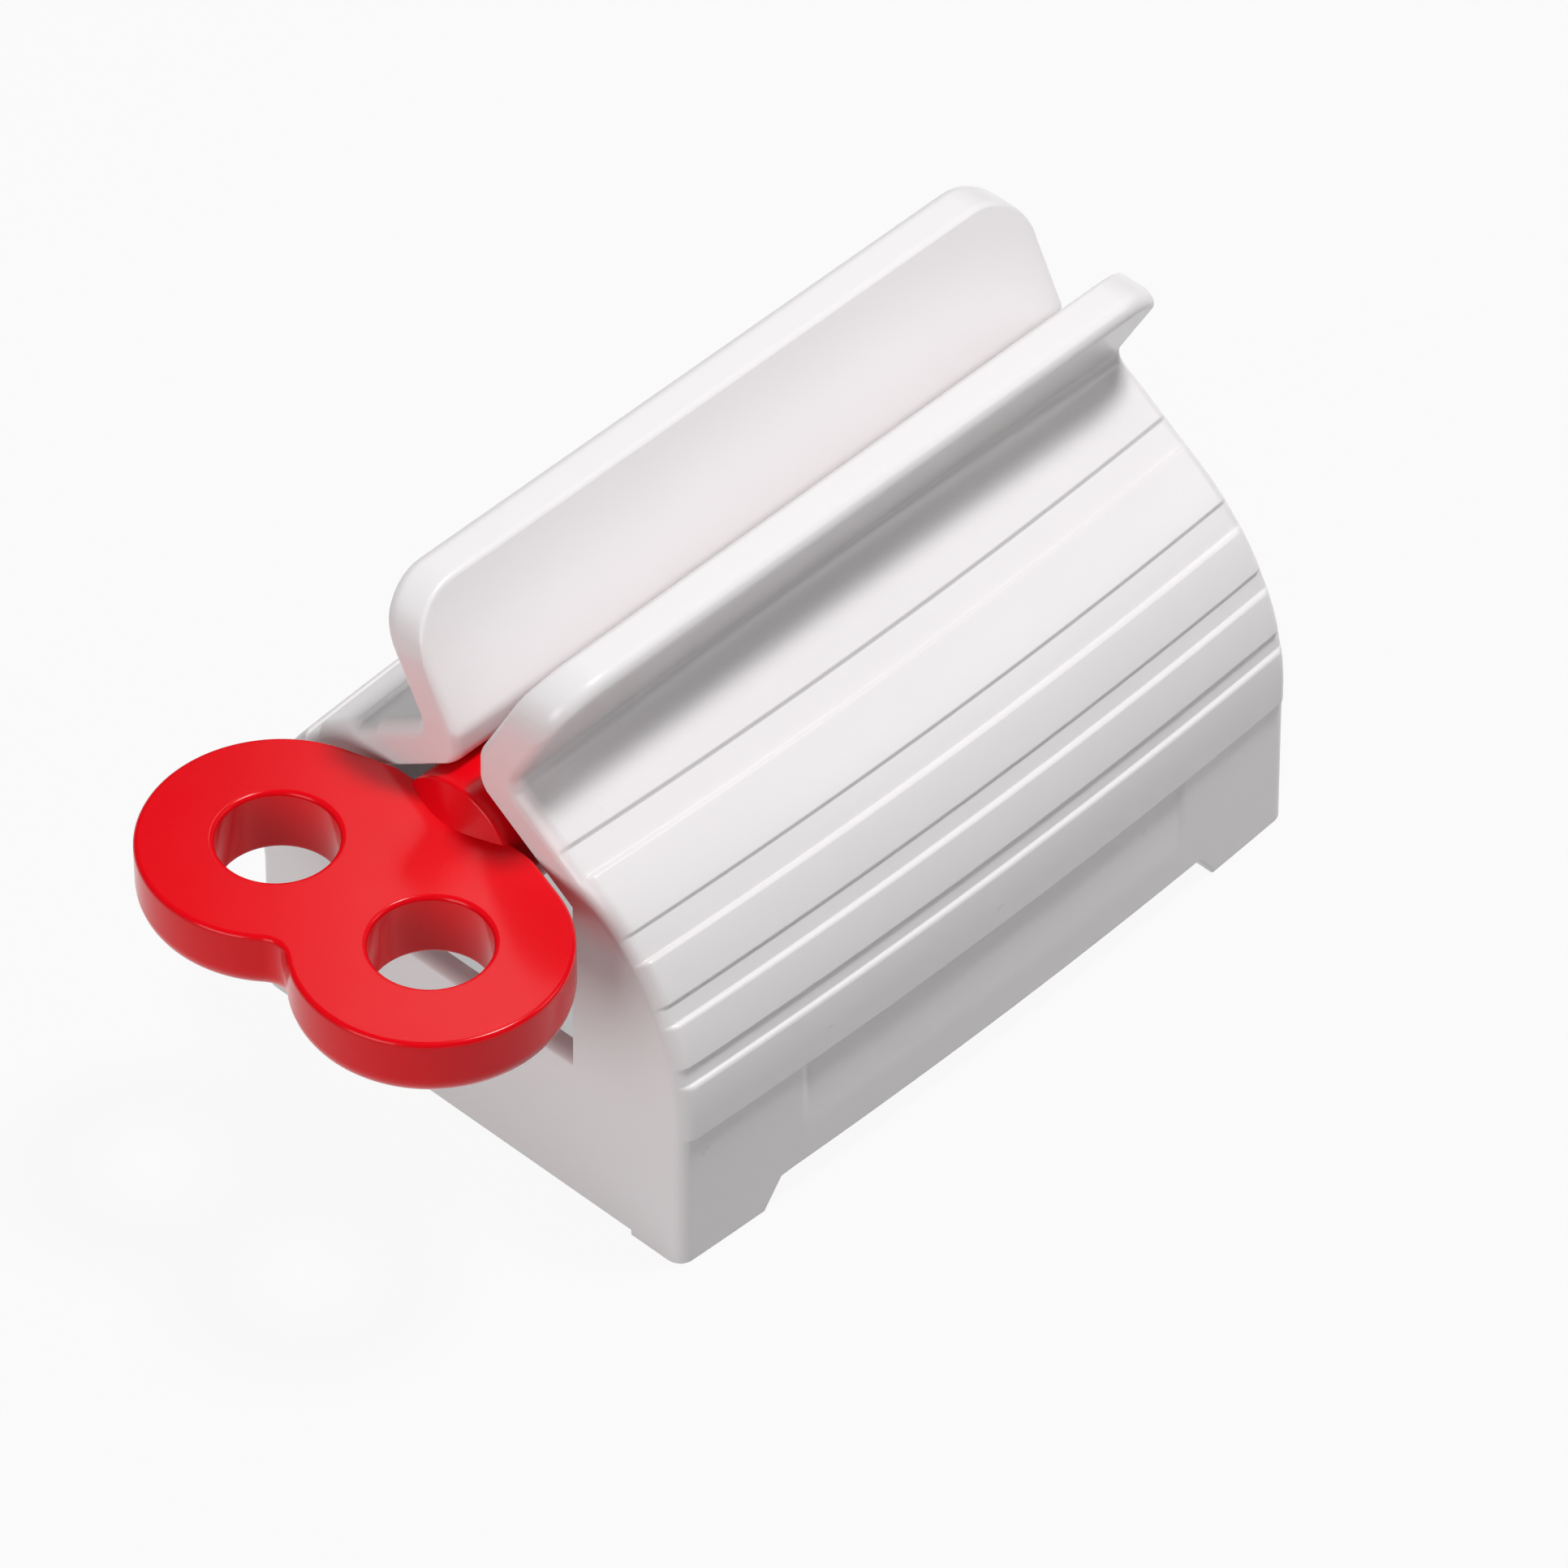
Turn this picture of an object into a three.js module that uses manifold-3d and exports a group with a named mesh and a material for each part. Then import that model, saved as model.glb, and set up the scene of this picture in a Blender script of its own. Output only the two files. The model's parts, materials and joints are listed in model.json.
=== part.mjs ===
// A toothpaste tube squeezer: a ribbed, hollow seat with a slotted lip on top,
// and a winding key whose split shaft lies under the slot and rolls up the tube's tail.
// Millimetres. X runs along the shaft with the key's grip at -X, -Y is the front, +Z is up.
import * as THREE from 'three';
import { mergeVertices } from 'three/addons/utils/BufferGeometryUtils.js';
import Module from 'manifold-3d';

const degrees = THREE.MathUtils.degToRad;

// Seat, outer form
const SEAT_LENGTH = 96; // at the floor
const HALF_WIDTH = 32.3; // middle plane to the raised wall face, at the ends
const WALL_BOW = 1.4; // swell of the long walls at mid-length
const END_DRAFT = degrees(0.8); // lean of the end faces
const END_ROUND = 1.6; // rounding round both end faces
const SHOULDER_HEIGHT = 21; // where the upright wall turns into the shoulder
const SHOULDER_RADIUS = 30.5;
const ROOF_PITCH = degrees(34);

// Ribs and grooves, measured down the face from the foot of the lip
const RIB_WIDTHS = [7.1, 7.2, 5.1, 5.1];
const GROOVE_WIDTHS = [4.1, 3.7, 2.8, 2.7];
const GROOVE_DEPTH = 0.5;
const RIB_END_GAP = 1.9; // ribs to the end faces, with a smooth band between them
const RIBS_END_HEIGHT = 18.9; // lower edge of the last rib, above the floor

// Plain band under the ribs, with a sunk panel, and the feet
const PANEL_DEPTH = 0.6; // at its upper edge
const PANEL_RUNOUT = 0.3; // how far its floor has come out past the band at the foot gap
const PANEL_END_INSET = 17.5;
const PANEL_COVE = 3; // length over which the panel's ends fade out
const PANEL_TOP_MARGIN = 0.6;
const FOOT_LENGTH = 12.3;
const FOOT_HEIGHT = 3.7;
const FOOT_SLANT = 2.6;
const END_FOOT_DEPTH = 8;
const END_RELIEF = 0.7;

// Seat, inside
const WALL = 3.6; // raised face to the hollow
const END_WALL = 3;
const ROOF_THICKNESS = 5.2;
const HAUNCH_ANGLE = degrees(45); // how far the hollow follows the shoulder
const WINDOW_HALF_WIDTH = 15.2;
const WINDOW_SILL = 19.8;

// Slot and flared lips
const THROAT_GAP = 2.9;
const THROAT_ROUND = 3; // lower edges of the slot
const THROAT_LAND = 2.4; // upright stretch above the rounding
const LIP_FLARE = degrees(28.4);
const LIP_LENGTH = 15.6; // inner face, from the slot to the level top
const LIP_THICKNESS = 5.3;
const LIP_INNER_ROUND = 0.9; // edges of the level top
const LIP_OUTER_ROUND = 1.5;
const LIP_ROOT_FILLET = 1.5;
const LIP_CORNER_RADIUS = 7.3;

// Winding key
const SHAFT_RADIUS = 8.1;
const SHAFT_CLEARANCE = 0.35; // shaft to the roof slopes that guide it
const SHAFT_TIP_INSET = 1; // tip to the far end face of the seat
const SHAFT_TIP_CHAMFER = 1.2;
const NOSE_OVERHANG = 1.1; // full shaft beyond the near end face
const NOSE_LENGTH = 2.8;
const NOSE_RADIUS = 2.5;
const TAIL_SLOT_WIDTH = 2.6;
const TAIL_SLOT_INSET = 5; // near end face to the blind end of the slot
const GRIP_THICKNESS = 8.2;
const GRIP_EDGE = 0.6; // rounding of the upper edge and the holes
const GRIP_UNDERSIDE = 3; // rounding of the lower edge
const GRIP_GAP = 1.4; // lobes to the near end face
const LOBE_RADIUS = 15.15;
const HOLE_RADIUS = 6.65;
const HOLE_SPACING = 22.7;
const WAIST_FILLET = 3;
const NECK_HALF_WIDTH = 11; // at the neck's end, from where it widens to the lobes
const NECK_GAP = 0.6; // neck to the near end face

// Fineness of the round parts
const ARC_STEP = degrees(12);
const NOSE_ARC_STEP = degrees(22);
const END_STEPS = 3;
const BOW_STEPS = 10;
const SHAFT_SIDES = 48;
const GRIP_CURVE_SEGMENTS = 12;
const GRIP_EDGE_STEPS = 3;

// Overlap given to a cutting body so that it passes right through
const CUT = 1;

// Sizes that follow from the ones above
const HALF_LENGTH = SEAT_LENGTH / 2;
const SHOULDER_MIDDLE = HALF_WIDTH - SHOULDER_RADIUS;
const HALF_THROAT = THROAT_GAP / 2;
const ROOF_RISE = Math.tan(ROOF_PITCH);
const ROOF_TANGENT = [
  SHOULDER_MIDDLE + SHOULDER_RADIUS * Math.sin(ROOF_PITCH),
  SHOULDER_HEIGHT + SHOULDER_RADIUS * Math.cos(ROOF_PITCH),
];
const ROOF_APEX = ROOF_TANGENT[1] + ROOF_TANGENT[0] * ROOF_RISE;
const CEILING_APEX = ROOF_APEX - ROOF_THICKNESS / Math.cos(ROOF_PITCH);
const SHAFT_HEIGHT = CEILING_APEX - (SHAFT_RADIUS + SHAFT_CLEARANCE) / Math.cos(ROOF_PITCH);
const KEY_END = endAt(SHAFT_HEIGHT); // end faces of the seat at the height of the shaft
const GRIP_X = -KEY_END - GRIP_GAP - LOBE_RADIUS; // line through both finger holes
const CEILING_EDGE = HALF_THROAT + THROAT_ROUND * (1 - Math.sin(ROOF_PITCH));
const THROAT_MIDDLE = [
  HALF_THROAT + THROAT_ROUND,
  ceilingAt(CEILING_EDGE) + THROAT_ROUND * Math.cos(ROOF_PITCH),
];
const THROAT_TOP = THROAT_MIDDLE[1] + THROAT_LAND;
const LIP_TOP = THROAT_TOP + LIP_LENGTH * Math.cos(LIP_FLARE);

const ALONG_X = new THREE.Matrix4().set(0, 0, 1, 0, 1, 0, 0, 0, 0, 1, 0, 0, 0, 0, 0, 1);

const wasm = await Module();
wasm.setup();

function ceilingAt(y) {
  return CEILING_APEX - Math.abs(y) * ROOF_RISE;
}

// Half of the seat's length at a height
function endAt(z) {
  return HALF_LENGTH - z * Math.tan(END_DRAFT);
}

function roofAt(y) {
  return ROOF_APEX - Math.abs(y) * ROOF_RISE;
}

// Turn a closed three.js geometry into a body that can be cut and joined
function solid(geometry) {
  const bare = geometry.clone();
  bare.deleteAttribute('normal');
  bare.deleteAttribute('uv');
  const welded = mergeVertices(bare);
  const corners = Array.from(welded.index.array);
  const kept = [];
  for (let i = 0; i < corners.length; i += 3) {
    const [a, b, c] = corners.slice(i, i + 3);
    if (a !== b && b !== c && c !== a) {
      kept.push(a, b, c);
    }
  }
  return new wasm.Manifold(new wasm.Mesh({
    numProp: 3,
    vertProperties: new Float32Array(welded.attributes.position.array),
    triVerts: new Uint32Array(kept),
  }));
}

function meshOf(name, body, material) {
  const { vertProperties, triVerts } = body.getMesh();
  const geometry = new THREE.BufferGeometry();
  geometry.setAttribute('position', new THREE.BufferAttribute(vertProperties, 3));
  geometry.setIndex(new THREE.BufferAttribute(triVerts, 1));
  geometry.computeVertexNormals();
  const mesh = new THREE.Mesh(geometry, material);
  mesh.name = name;
  return mesh;
}

function shapeOf(points) {
  return new THREE.Shape(points.map(([a, b]) => new THREE.Vector2(a, b)));
}

// Prism of a Y-Z outline along X
function prismX(points, from, to, steps = 1) {
  const options = { depth: to - from, steps, bevelEnabled: false };
  const geometry = new THREE.ExtrudeGeometry(shapeOf(points), options);
  return geometry.translate(0, 0, from).applyMatrix4(ALONG_X);
}

// Prism of an X-Z outline right through the seat along Y
function prismY(points) {
  const reach = HALF_WIDTH + WALL_BOW + CUT;
  const options = { depth: 2 * reach, bevelEnabled: false };
  const geometry = new THREE.ExtrudeGeometry(shapeOf(points), options);
  return geometry.translate(0, 0, -reach).rotateX(Math.PI / 2);
}

function mirrored(half) {
  const other = half.map(([y, z]) => [-y, z]).reverse();
  return [...half, ...other];
}

// Points of an arc from one angle to another, both ends included
function arc(middle, radius, from, to, step) {
  const count = Math.max(1, Math.ceil(Math.abs(to - from) / step));
  return Array.from({ length: count + 1 }, (_, i) => {
    const angle = from + ((to - from) * i) / count;
    return [middle[0] + radius * Math.cos(angle), middle[1] + radius * Math.sin(angle)];
  });
}

// Swell of the long walls at a place along the seat
function bowAt(x) {
  return WALL_BOW * (1 - (x / HALF_LENGTH) ** 2);
}

// How far the rounding draws the face in near an end
function endInsetAt(x) {
  const left = Math.max(0, END_ROUND - (HALF_LENGTH - Math.abs(x)));
  return END_ROUND - Math.sqrt(Math.max(0, END_ROUND ** 2 - left ** 2));
}

// Share of the ribs' height that is left out near an end
function endBandAt(x) {
  const gap = HALF_LENGTH - Math.abs(x);
  return THREE.MathUtils.clamp((RIB_END_GAP - gap) / (RIB_END_GAP - END_ROUND), 0, 1);
}

// Where the lip's outer face meets the roof, and where the fillet between them starts and ends
function lipRoot() {
  const along = [Math.sin(LIP_FLARE), Math.cos(LIP_FLARE)];
  const out = [Math.cos(LIP_FLARE), -Math.sin(LIP_FLARE)];
  const start = [HALF_THROAT + LIP_THICKNESS * out[0], THROAT_TOP + LIP_THICKNESS * out[1]];
  const climb = (roofAt(start[0]) - start[1]) / (along[1] + along[0] * ROOF_RISE);
  const corner = [start[0] + climb * along[0], start[1] + climb * along[1]];
  const opening = Math.PI / 2 + ROOF_PITCH - LIP_FLARE;
  const tangent = LIP_ROOT_FILLET / Math.tan(opening / 2);
  const onRoof = [
    corner[0] + tangent * Math.cos(ROOF_PITCH),
    corner[1] - tangent * Math.sin(ROOF_PITCH),
  ];
  const onLip = [corner[0] + tangent * along[0], corner[1] + tangent * along[1]];
  return { onRoof, onLip };
}

// A place on the ribbed face: distance down from the lip's fillet, and depth below the ribs
function facePoint(distance, depth) {
  const { onRoof } = lipRoot();
  const roofLength = (onRoof[1] - ROOF_TANGENT[1]) / Math.sin(ROOF_PITCH);
  const bend = Math.PI / 2 - ROOF_PITCH;
  const turned = (distance - roofLength) / SHOULDER_RADIUS;
  if (turned <= 0) {
    return [
      onRoof[0] + distance * Math.cos(ROOF_PITCH) - depth * Math.sin(ROOF_PITCH),
      onRoof[1] - distance * Math.sin(ROOF_PITCH) - depth * Math.cos(ROOF_PITCH),
    ];
  }
  if (turned >= bend) {
    return [HALF_WIDTH - depth, SHOULDER_HEIGHT - (turned - bend) * SHOULDER_RADIUS];
  }
  const angle = bend - turned;
  const reach = SHOULDER_RADIUS - depth;
  return [SHOULDER_MIDDLE + reach * Math.cos(angle), SHOULDER_HEIGHT + reach * Math.sin(angle)];
}

// One rib or groove floor, from its upper to its lower edge
function faceStretch(from, to, depth) {
  const count = Math.max(1, Math.round((to - from) / (ARC_STEP * SHOULDER_RADIUS)));
  return Array.from({ length: count + 1 }, (_, i) => facePoint(from + ((to - from) * i) / count, depth));
}

// The ribbed face from the lip's fillet down to the plain band
function ribbedFace() {
  const points = [];
  let place = 0;
  RIB_WIDTHS.forEach((rib, i) => {
    points.push(...faceStretch(place, place + rib, 0));
    place += rib;
    points.push(...faceStretch(place, place + GROOVE_WIDTHS[i], GROOVE_DEPTH));
    place += GROOVE_WIDTHS[i];
  });
  points.push(facePoint(place, 0), [HALF_WIDTH, RIBS_END_HEIGHT]);
  return points;
}

// Level top of a lip, from its outer to its inner face, with rounded edges
function lipTop() {
  const inner = HALF_THROAT + LIP_LENGTH * Math.sin(LIP_FLARE);
  const outer = inner + LIP_THICKNESS / Math.cos(LIP_FLARE);
  const outerReach = LIP_OUTER_ROUND / Math.tan(Math.PI / 4 - LIP_FLARE / 2);
  const innerReach = LIP_INNER_ROUND / Math.tan(Math.PI / 4 + LIP_FLARE / 2);
  const outerMiddle = [outer - outerReach, LIP_TOP - LIP_OUTER_ROUND];
  const innerMiddle = [inner + innerReach, LIP_TOP - LIP_INNER_ROUND];
  return [
    ...arc(outerMiddle, LIP_OUTER_ROUND, -LIP_FLARE, Math.PI / 2, NOSE_ARC_STEP),
    ...arc(innerMiddle, LIP_INNER_ROUND, Math.PI / 2, Math.PI - LIP_FLARE, NOSE_ARC_STEP),
  ];
}

// Half of the seat's outer outline, from the floor up over the lip and down into the slot
function seatHalfOutline() {
  const { onRoof, onLip } = lipRoot();
  const band = HALF_WIDTH - GROOVE_DEPTH;
  const fillet = [
    onRoof[0] + LIP_ROOT_FILLET * Math.sin(ROOF_PITCH),
    onRoof[1] + LIP_ROOT_FILLET * Math.cos(ROOF_PITCH),
  ];
  const filletStart = 1.5 * Math.PI - ROOF_PITCH;
  const filletEnd = Math.PI - LIP_FLARE;
  return [
    [band, 0],
    [band, RIBS_END_HEIGHT],
    ...ribbedFace().reverse().slice(0, -1),
    ...arc(fillet, LIP_ROOT_FILLET, filletStart, filletEnd, NOSE_ARC_STEP).slice(0, -1),
    onLip,
    ...lipTop(),
    [HALF_THROAT, THROAT_TOP],
    ...arc(THROAT_MIDDLE, THROAT_ROUND, Math.PI, 1.5 * Math.PI - ROOF_PITCH, NOSE_ARC_STEP),
    [CEILING_EDGE, ceilingAt(CEILING_EDGE) - CUT],
  ];
}

// Places of the cross-sections along the seat, closer together round the ends
function seatStations() {
  const near = Array.from({ length: END_STEPS + 1 }, (_, i) => {
    const angle = ((i / END_STEPS) * Math.PI) / 2;
    return END_ROUND * (1 - Math.cos(angle)) - HALF_LENGTH;
  });
  const inner = HALF_LENGTH - RIB_END_GAP;
  const middle = Array.from({ length: BOW_STEPS + 1 }, (_, i) => inner * ((2 * i) / BOW_STEPS - 1));
  const far = near.map((x) => -x).reverse();
  return [...near, ...middle, ...far];
}

// Share of the swell and end rounding that a point of the outline takes: none on the lips
function wallShare(y, z) {
  const { onRoof, onLip } = lipRoot();
  const outward = (y - onLip[0]) / (onRoof[0] - onLip[0]);
  const upward = (z - roofAt(y)) / (onLip[1] - roofAt(onLip[0]));
  return THREE.MathUtils.clamp(outward, 0, 1) * (1 - THREE.MathUtils.clamp(upward, 0, 1));
}

// Direction of the face's normal above the horizontal
function faceTilt(y, z) {
  if (z <= SHOULDER_HEIGHT) {
    return 0;
  }
  const tilt = Math.atan2(z - SHOULDER_HEIGHT, y - SHOULDER_MIDDLE);
  return Math.min(tilt, Math.PI / 2 - ROOF_PITCH);
}

// Height of a point of the face above the groove floors
function ribRise(y, z) {
  const tilt = faceTilt(y, z);
  const outward = (y - SHOULDER_MIDDLE) * Math.cos(tilt) + (z - SHOULDER_HEIGHT) * Math.sin(tilt);
  return THREE.MathUtils.clamp(GROOVE_DEPTH - SHOULDER_RADIUS + outward, 0, GROOVE_DEPTH);
}

// Move every point of a prism by a rule that gets its place and returns the new one
function reshape(geometry, rule) {
  const spots = geometry.attributes.position;
  for (let i = 0; i < spots.count; i += 1) {
    const side = Math.sign(spots.getY(i));
    const [x, y, z] = rule(spots.getX(i), Math.abs(spots.getY(i)), spots.getZ(i));
    spots.setXYZ(i, x, side * y, z);
  }
  return geometry;
}

// The solid block of the seat, ribs and lips, before anything is cut out of it
function seatBlock() {
  const stations = seatStations();
  const steps = stations.length - 1;
  const prism = prismX(mirrored(seatHalfOutline()), -HALF_LENGTH, HALF_LENGTH, steps);
  const block = reshape(prism, (evenX, y, z) => {
    const x = stations[Math.round(((evenX + HALF_LENGTH) / SEAT_LENGTH) * steps)];
    const share = wallShare(y, z);
    const inset = endInsetAt(x) + endBandAt(x) * ribRise(y, z);
    const tilt = faceTilt(y, z);
    return [
      (x * endAt(z)) / HALF_LENGTH,
      y + share * (bowAt(x) - inset * Math.cos(tilt)),
      z - share * inset * Math.sin(tilt),
    ];
  });
  return solid(block);
}

// The hollow under the roof, open to the floor
function seatHollow() {
  const inner = HALF_WIDTH - WALL;
  const shoulder = [SHOULDER_MIDDLE, SHOULDER_HEIGHT];
  const half = [
    [inner, -CUT],
    ...arc(shoulder, SHOULDER_RADIUS - WALL, 0, HAUNCH_ANGLE, ARC_STEP),
    [WINDOW_HALF_WIDTH, ceilingAt(WINDOW_HALF_WIDTH)],
    [CEILING_EDGE, ceilingAt(CEILING_EDGE)],
  ];
  const reach = HALF_LENGTH - END_WALL;
  const prism = prismX(mirrored(half), -reach, reach, BOW_STEPS);
  return solid(reshape(prism, (x, y, z) => {
    const share = (y - WINDOW_HALF_WIDTH) / (inner - WINDOW_HALF_WIDTH);
    return [x, y + bowAt(x) * THREE.MathUtils.clamp(share, 0, 1), z];
  }));
}

// The gabled window through both end walls, which lets the rolled tail and the shaft pass
function endWindows() {
  const half = [
    [WINDOW_HALF_WIDTH, WINDOW_SILL],
    [WINDOW_HALF_WIDTH, ceilingAt(WINDOW_HALF_WIDTH)],
    [CEILING_EDGE, ceilingAt(CEILING_EDGE)],
  ];
  return solid(prismX(mirrored(half), -HALF_LENGTH - CUT, HALF_LENGTH + CUT));
}

// Gap between the feet under the long walls
function footGap() {
  const low = HALF_LENGTH - FOOT_LENGTH;
  const high = low - FOOT_SLANT;
  const below = low + (FOOT_SLANT * CUT) / FOOT_HEIGHT;
  return solid(prismY([[-below, -CUT], [below, -CUT], [high, FOOT_HEIGHT], [-high, FOOT_HEIGHT]]));
}

// Shallow relief between the feet under the end walls
function endRelief() {
  const half = HALF_WIDTH - END_FOOT_DEPTH;
  const outline = mirrored([[half, -CUT], [half, END_RELIEF]]);
  return solid(prismX(outline, -HALF_LENGTH - CUT, HALF_LENGTH + CUT));
}

// Sunk panels of the long walls, fading out at their ends and towards the floor
function sunkPanels() {
  const band = HALF_WIDTH - GROOVE_DEPTH;
  const floor = band - PANEL_DEPTH;
  const outer = HALF_WIDTH + WALL_BOW + CUT;
  const top = RIBS_END_HEIGHT - PANEL_TOP_MARGIN;
  const reach = HALF_LENGTH - PANEL_END_INSET;
  const foot = [band + PANEL_RUNOUT, FOOT_HEIGHT];
  const outline = [foot, [outer, FOOT_HEIGHT], [outer, top], [floor, top]];
  const bowed = (x, y, z) => {
    const fade = THREE.MathUtils.clamp((Math.abs(x) - reach + PANEL_COVE) / PANEL_COVE, 0, 1);
    const rise = y < outer ? bowAt(x) + fade * (PANEL_DEPTH + GROOVE_DEPTH) : 0;
    return [x, y + rise, z];
  };
  const front = reshape(prismX(outline.map(([y, z]) => [-y, z]), -reach, reach, 2 * BOW_STEPS), bowed);
  const rear = reshape(prismX(outline, -reach, reach, 2 * BOW_STEPS), bowed);
  return solid(front).add(solid(rear));
}

// What is taken off the upper corners at both ends of the lips
function lipCorners() {
  const top = LIP_TOP + CUT;
  const middle = [endAt(LIP_TOP) - LIP_CORNER_RADIUS, LIP_TOP - LIP_CORNER_RADIUS];
  const round = arc(middle, LIP_CORNER_RADIUS, Math.PI / 2, 0, NOSE_ARC_STEP);
  const beyond = HALF_LENGTH + CUT;
  const corner = [[middle[0], top], ...round, [beyond, middle[1]], [beyond, top]];
  const opposite = corner.map(([x, z]) => [-x, z]);
  return solid(prismY(corner)).add(solid(prismY(opposite)));
}

function seat() {
  const body = seatBlock()
    .subtract(seatHollow().add(endWindows()))
    .subtract(footGap())
    .subtract(endRelief())
    .subtract(sunkPanels())
    .subtract(lipCorners());
  const white = new THREE.MeshStandardMaterial({ color: 0xf0eff0, roughness: 0.35, metalness: 0 });
  return meshOf('seat', body, white);
}

function fingerHoles() {
  return [-1, 1].map((side) => {
    const hole = new THREE.Path();
    hole.absarc(0, (side * HOLE_SPACING) / 2, HOLE_RADIUS, 0, 2 * Math.PI, true);
    return hole;
  });
}

// Two-lobed grip in plan, with a neck that runs on into the seat
function gripShape(holes) {
  const lobe = HOLE_SPACING / 2;
  const neckEnd = LOBE_RADIUS + GRIP_GAP - NECK_GAP;
  const inward = lobe - NECK_HALF_WIDTH;
  const flank = Math.acos(LOBE_RADIUS / Math.hypot(neckEnd, inward)) - Math.atan2(inward, neckEnd);
  const neckTip = (LOBE_RADIUS + lobe * Math.sin(flank)) / Math.cos(flank);
  const waist = Math.sqrt((LOBE_RADIUS + WAIST_FILLET) ** 2 - lobe ** 2);
  const waistAngle = Math.atan2(lobe, waist);
  const shape = new THREE.Shape();
  shape.moveTo(neckTip, 0);
  shape.absarc(0, lobe, LOBE_RADIUS, flank, Math.PI + waistAngle, false);
  shape.absarc(-waist, 0, WAIST_FILLET, waistAngle, -waistAngle, true);
  shape.absarc(0, -lobe, LOBE_RADIUS, Math.PI - waistAngle, 2 * Math.PI - flank, false);
  shape.closePath();
  shape.holes.push(...holes);
  return shape;
}

// A plate with rounded edges, standing on the underside of the grip
function roundedPlate(shape, thickness, edge) {
  const plate = new THREE.ExtrudeGeometry(shape, {
    depth: thickness - 2 * edge,
    bevelThickness: edge,
    bevelSize: edge,
    bevelOffset: -edge,
    bevelSegments: GRIP_EDGE_STEPS,
    curveSegments: GRIP_CURVE_SEGMENTS,
  });
  return solid(plate.translate(GRIP_X, 0, SHAFT_HEIGHT - GRIP_THICKNESS / 2 + edge));
}

// Fine rounding above and in the holes, a fuller one below, and the neck cut off before the seat
function grip() {
  const holed = roundedPlate(gripShape(fingerHoles()), GRIP_THICKNESS, GRIP_EDGE);
  const full = roundedPlate(gripShape([]), GRIP_THICKNESS + GRIP_UNDERSIDE, GRIP_UNDERSIDE);
  return holed.intersect(full).trimByPlane([-1, 0, 0], KEY_END + NECK_GAP);
}

// Round shaft with a conical nose that sinks into the grip
function shaft() {
  const nose = -KEY_END - NOSE_OVERHANG;
  const tip = KEY_END - SHAFT_TIP_INSET;
  const profile = [
    [0, nose - NOSE_LENGTH],
    [NOSE_RADIUS, nose - NOSE_LENGTH],
    [SHAFT_RADIUS, nose],
    [SHAFT_RADIUS, tip - SHAFT_TIP_CHAMFER],
    [SHAFT_RADIUS - SHAFT_TIP_CHAMFER, tip],
    [0, tip],
  ].map(([radius, x]) => new THREE.Vector2(radius, x));
  const turned = new THREE.LatheGeometry(profile, SHAFT_SIDES);
  return solid(turned.rotateZ(-Math.PI / 2).translate(0, 0, SHAFT_HEIGHT));
}

// Slot that takes the tube's tail and splits the shaft into two prongs
function tailSlot() {
  const half = TAIL_SLOT_WIDTH / 2;
  const low = SHAFT_HEIGHT - SHAFT_RADIUS - CUT;
  const high = SHAFT_HEIGHT + SHAFT_RADIUS + CUT;
  return solid(prismX(mirrored([[half, low], [half, high]]), TAIL_SLOT_INSET - KEY_END, HALF_LENGTH));
}

function windingKey() {
  const body = grip().add(shaft()).subtract(tailSlot());
  const red = new THREE.MeshStandardMaterial({ color: 0xd90d1c, roughness: 0.22, metalness: 0 });
  return meshOf('winding_key', body, red);
}

// The origin is on the floor, under the middle of the whole object
const squeezer = new THREE.Group();
squeezer.add(seat(), windingKey());
const keyEnd = GRIP_X - LOBE_RADIUS;
squeezer.position.x = -(keyEnd + HALF_LENGTH) / 2;

export default squeezer;
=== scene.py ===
import json
import math
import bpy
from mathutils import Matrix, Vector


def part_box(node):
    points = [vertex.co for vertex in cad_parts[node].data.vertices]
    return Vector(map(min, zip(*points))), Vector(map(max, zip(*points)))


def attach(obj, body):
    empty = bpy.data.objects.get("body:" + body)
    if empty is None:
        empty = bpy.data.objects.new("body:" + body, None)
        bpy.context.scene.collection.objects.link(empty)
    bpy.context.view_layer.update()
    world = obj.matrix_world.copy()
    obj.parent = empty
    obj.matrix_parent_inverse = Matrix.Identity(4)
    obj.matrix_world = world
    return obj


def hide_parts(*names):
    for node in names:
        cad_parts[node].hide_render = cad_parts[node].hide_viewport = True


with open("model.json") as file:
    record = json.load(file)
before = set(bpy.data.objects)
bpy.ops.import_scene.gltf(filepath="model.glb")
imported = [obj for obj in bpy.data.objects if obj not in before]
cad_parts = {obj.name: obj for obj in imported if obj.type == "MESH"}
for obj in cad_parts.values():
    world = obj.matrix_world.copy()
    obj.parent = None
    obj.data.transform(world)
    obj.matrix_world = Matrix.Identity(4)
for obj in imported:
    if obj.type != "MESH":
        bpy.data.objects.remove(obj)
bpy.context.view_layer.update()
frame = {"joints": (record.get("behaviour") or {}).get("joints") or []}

from types import SimpleNamespace

import bmesh
import bpy
import numpy as np
from bpy.props import FloatProperty, FloatVectorProperty, PointerProperty
from bpy.types import Operator, Panel, PropertyGroup
from mathutils import Matrix, Vector

bl_info = {
    "name": "Tube squeezer",
    "version": (1, 0, 0),
    "blender": (4, 5, 0),
    "location": "3D View > Sidebar > Squeezer",
    "description": "A ribbed tube squeezer with its winding key, on a white stage",
    "category": "Add Mesh",
}

MM = 0.001
SEAT_LOW, SEAT_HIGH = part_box("seat")
KEY_LOW, KEY_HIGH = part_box("winding_key")
SEAT_MIDDLE_X = (SEAT_LOW.x + SEAT_HIGH.x) / 2
SHAFT_HEIGHT = frame["joints"][0]["pos_m"][2]
PHOTO_PIXELS = 1932
SENSOR_WIDTH = 36
FAR_CLIP = 20

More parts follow.
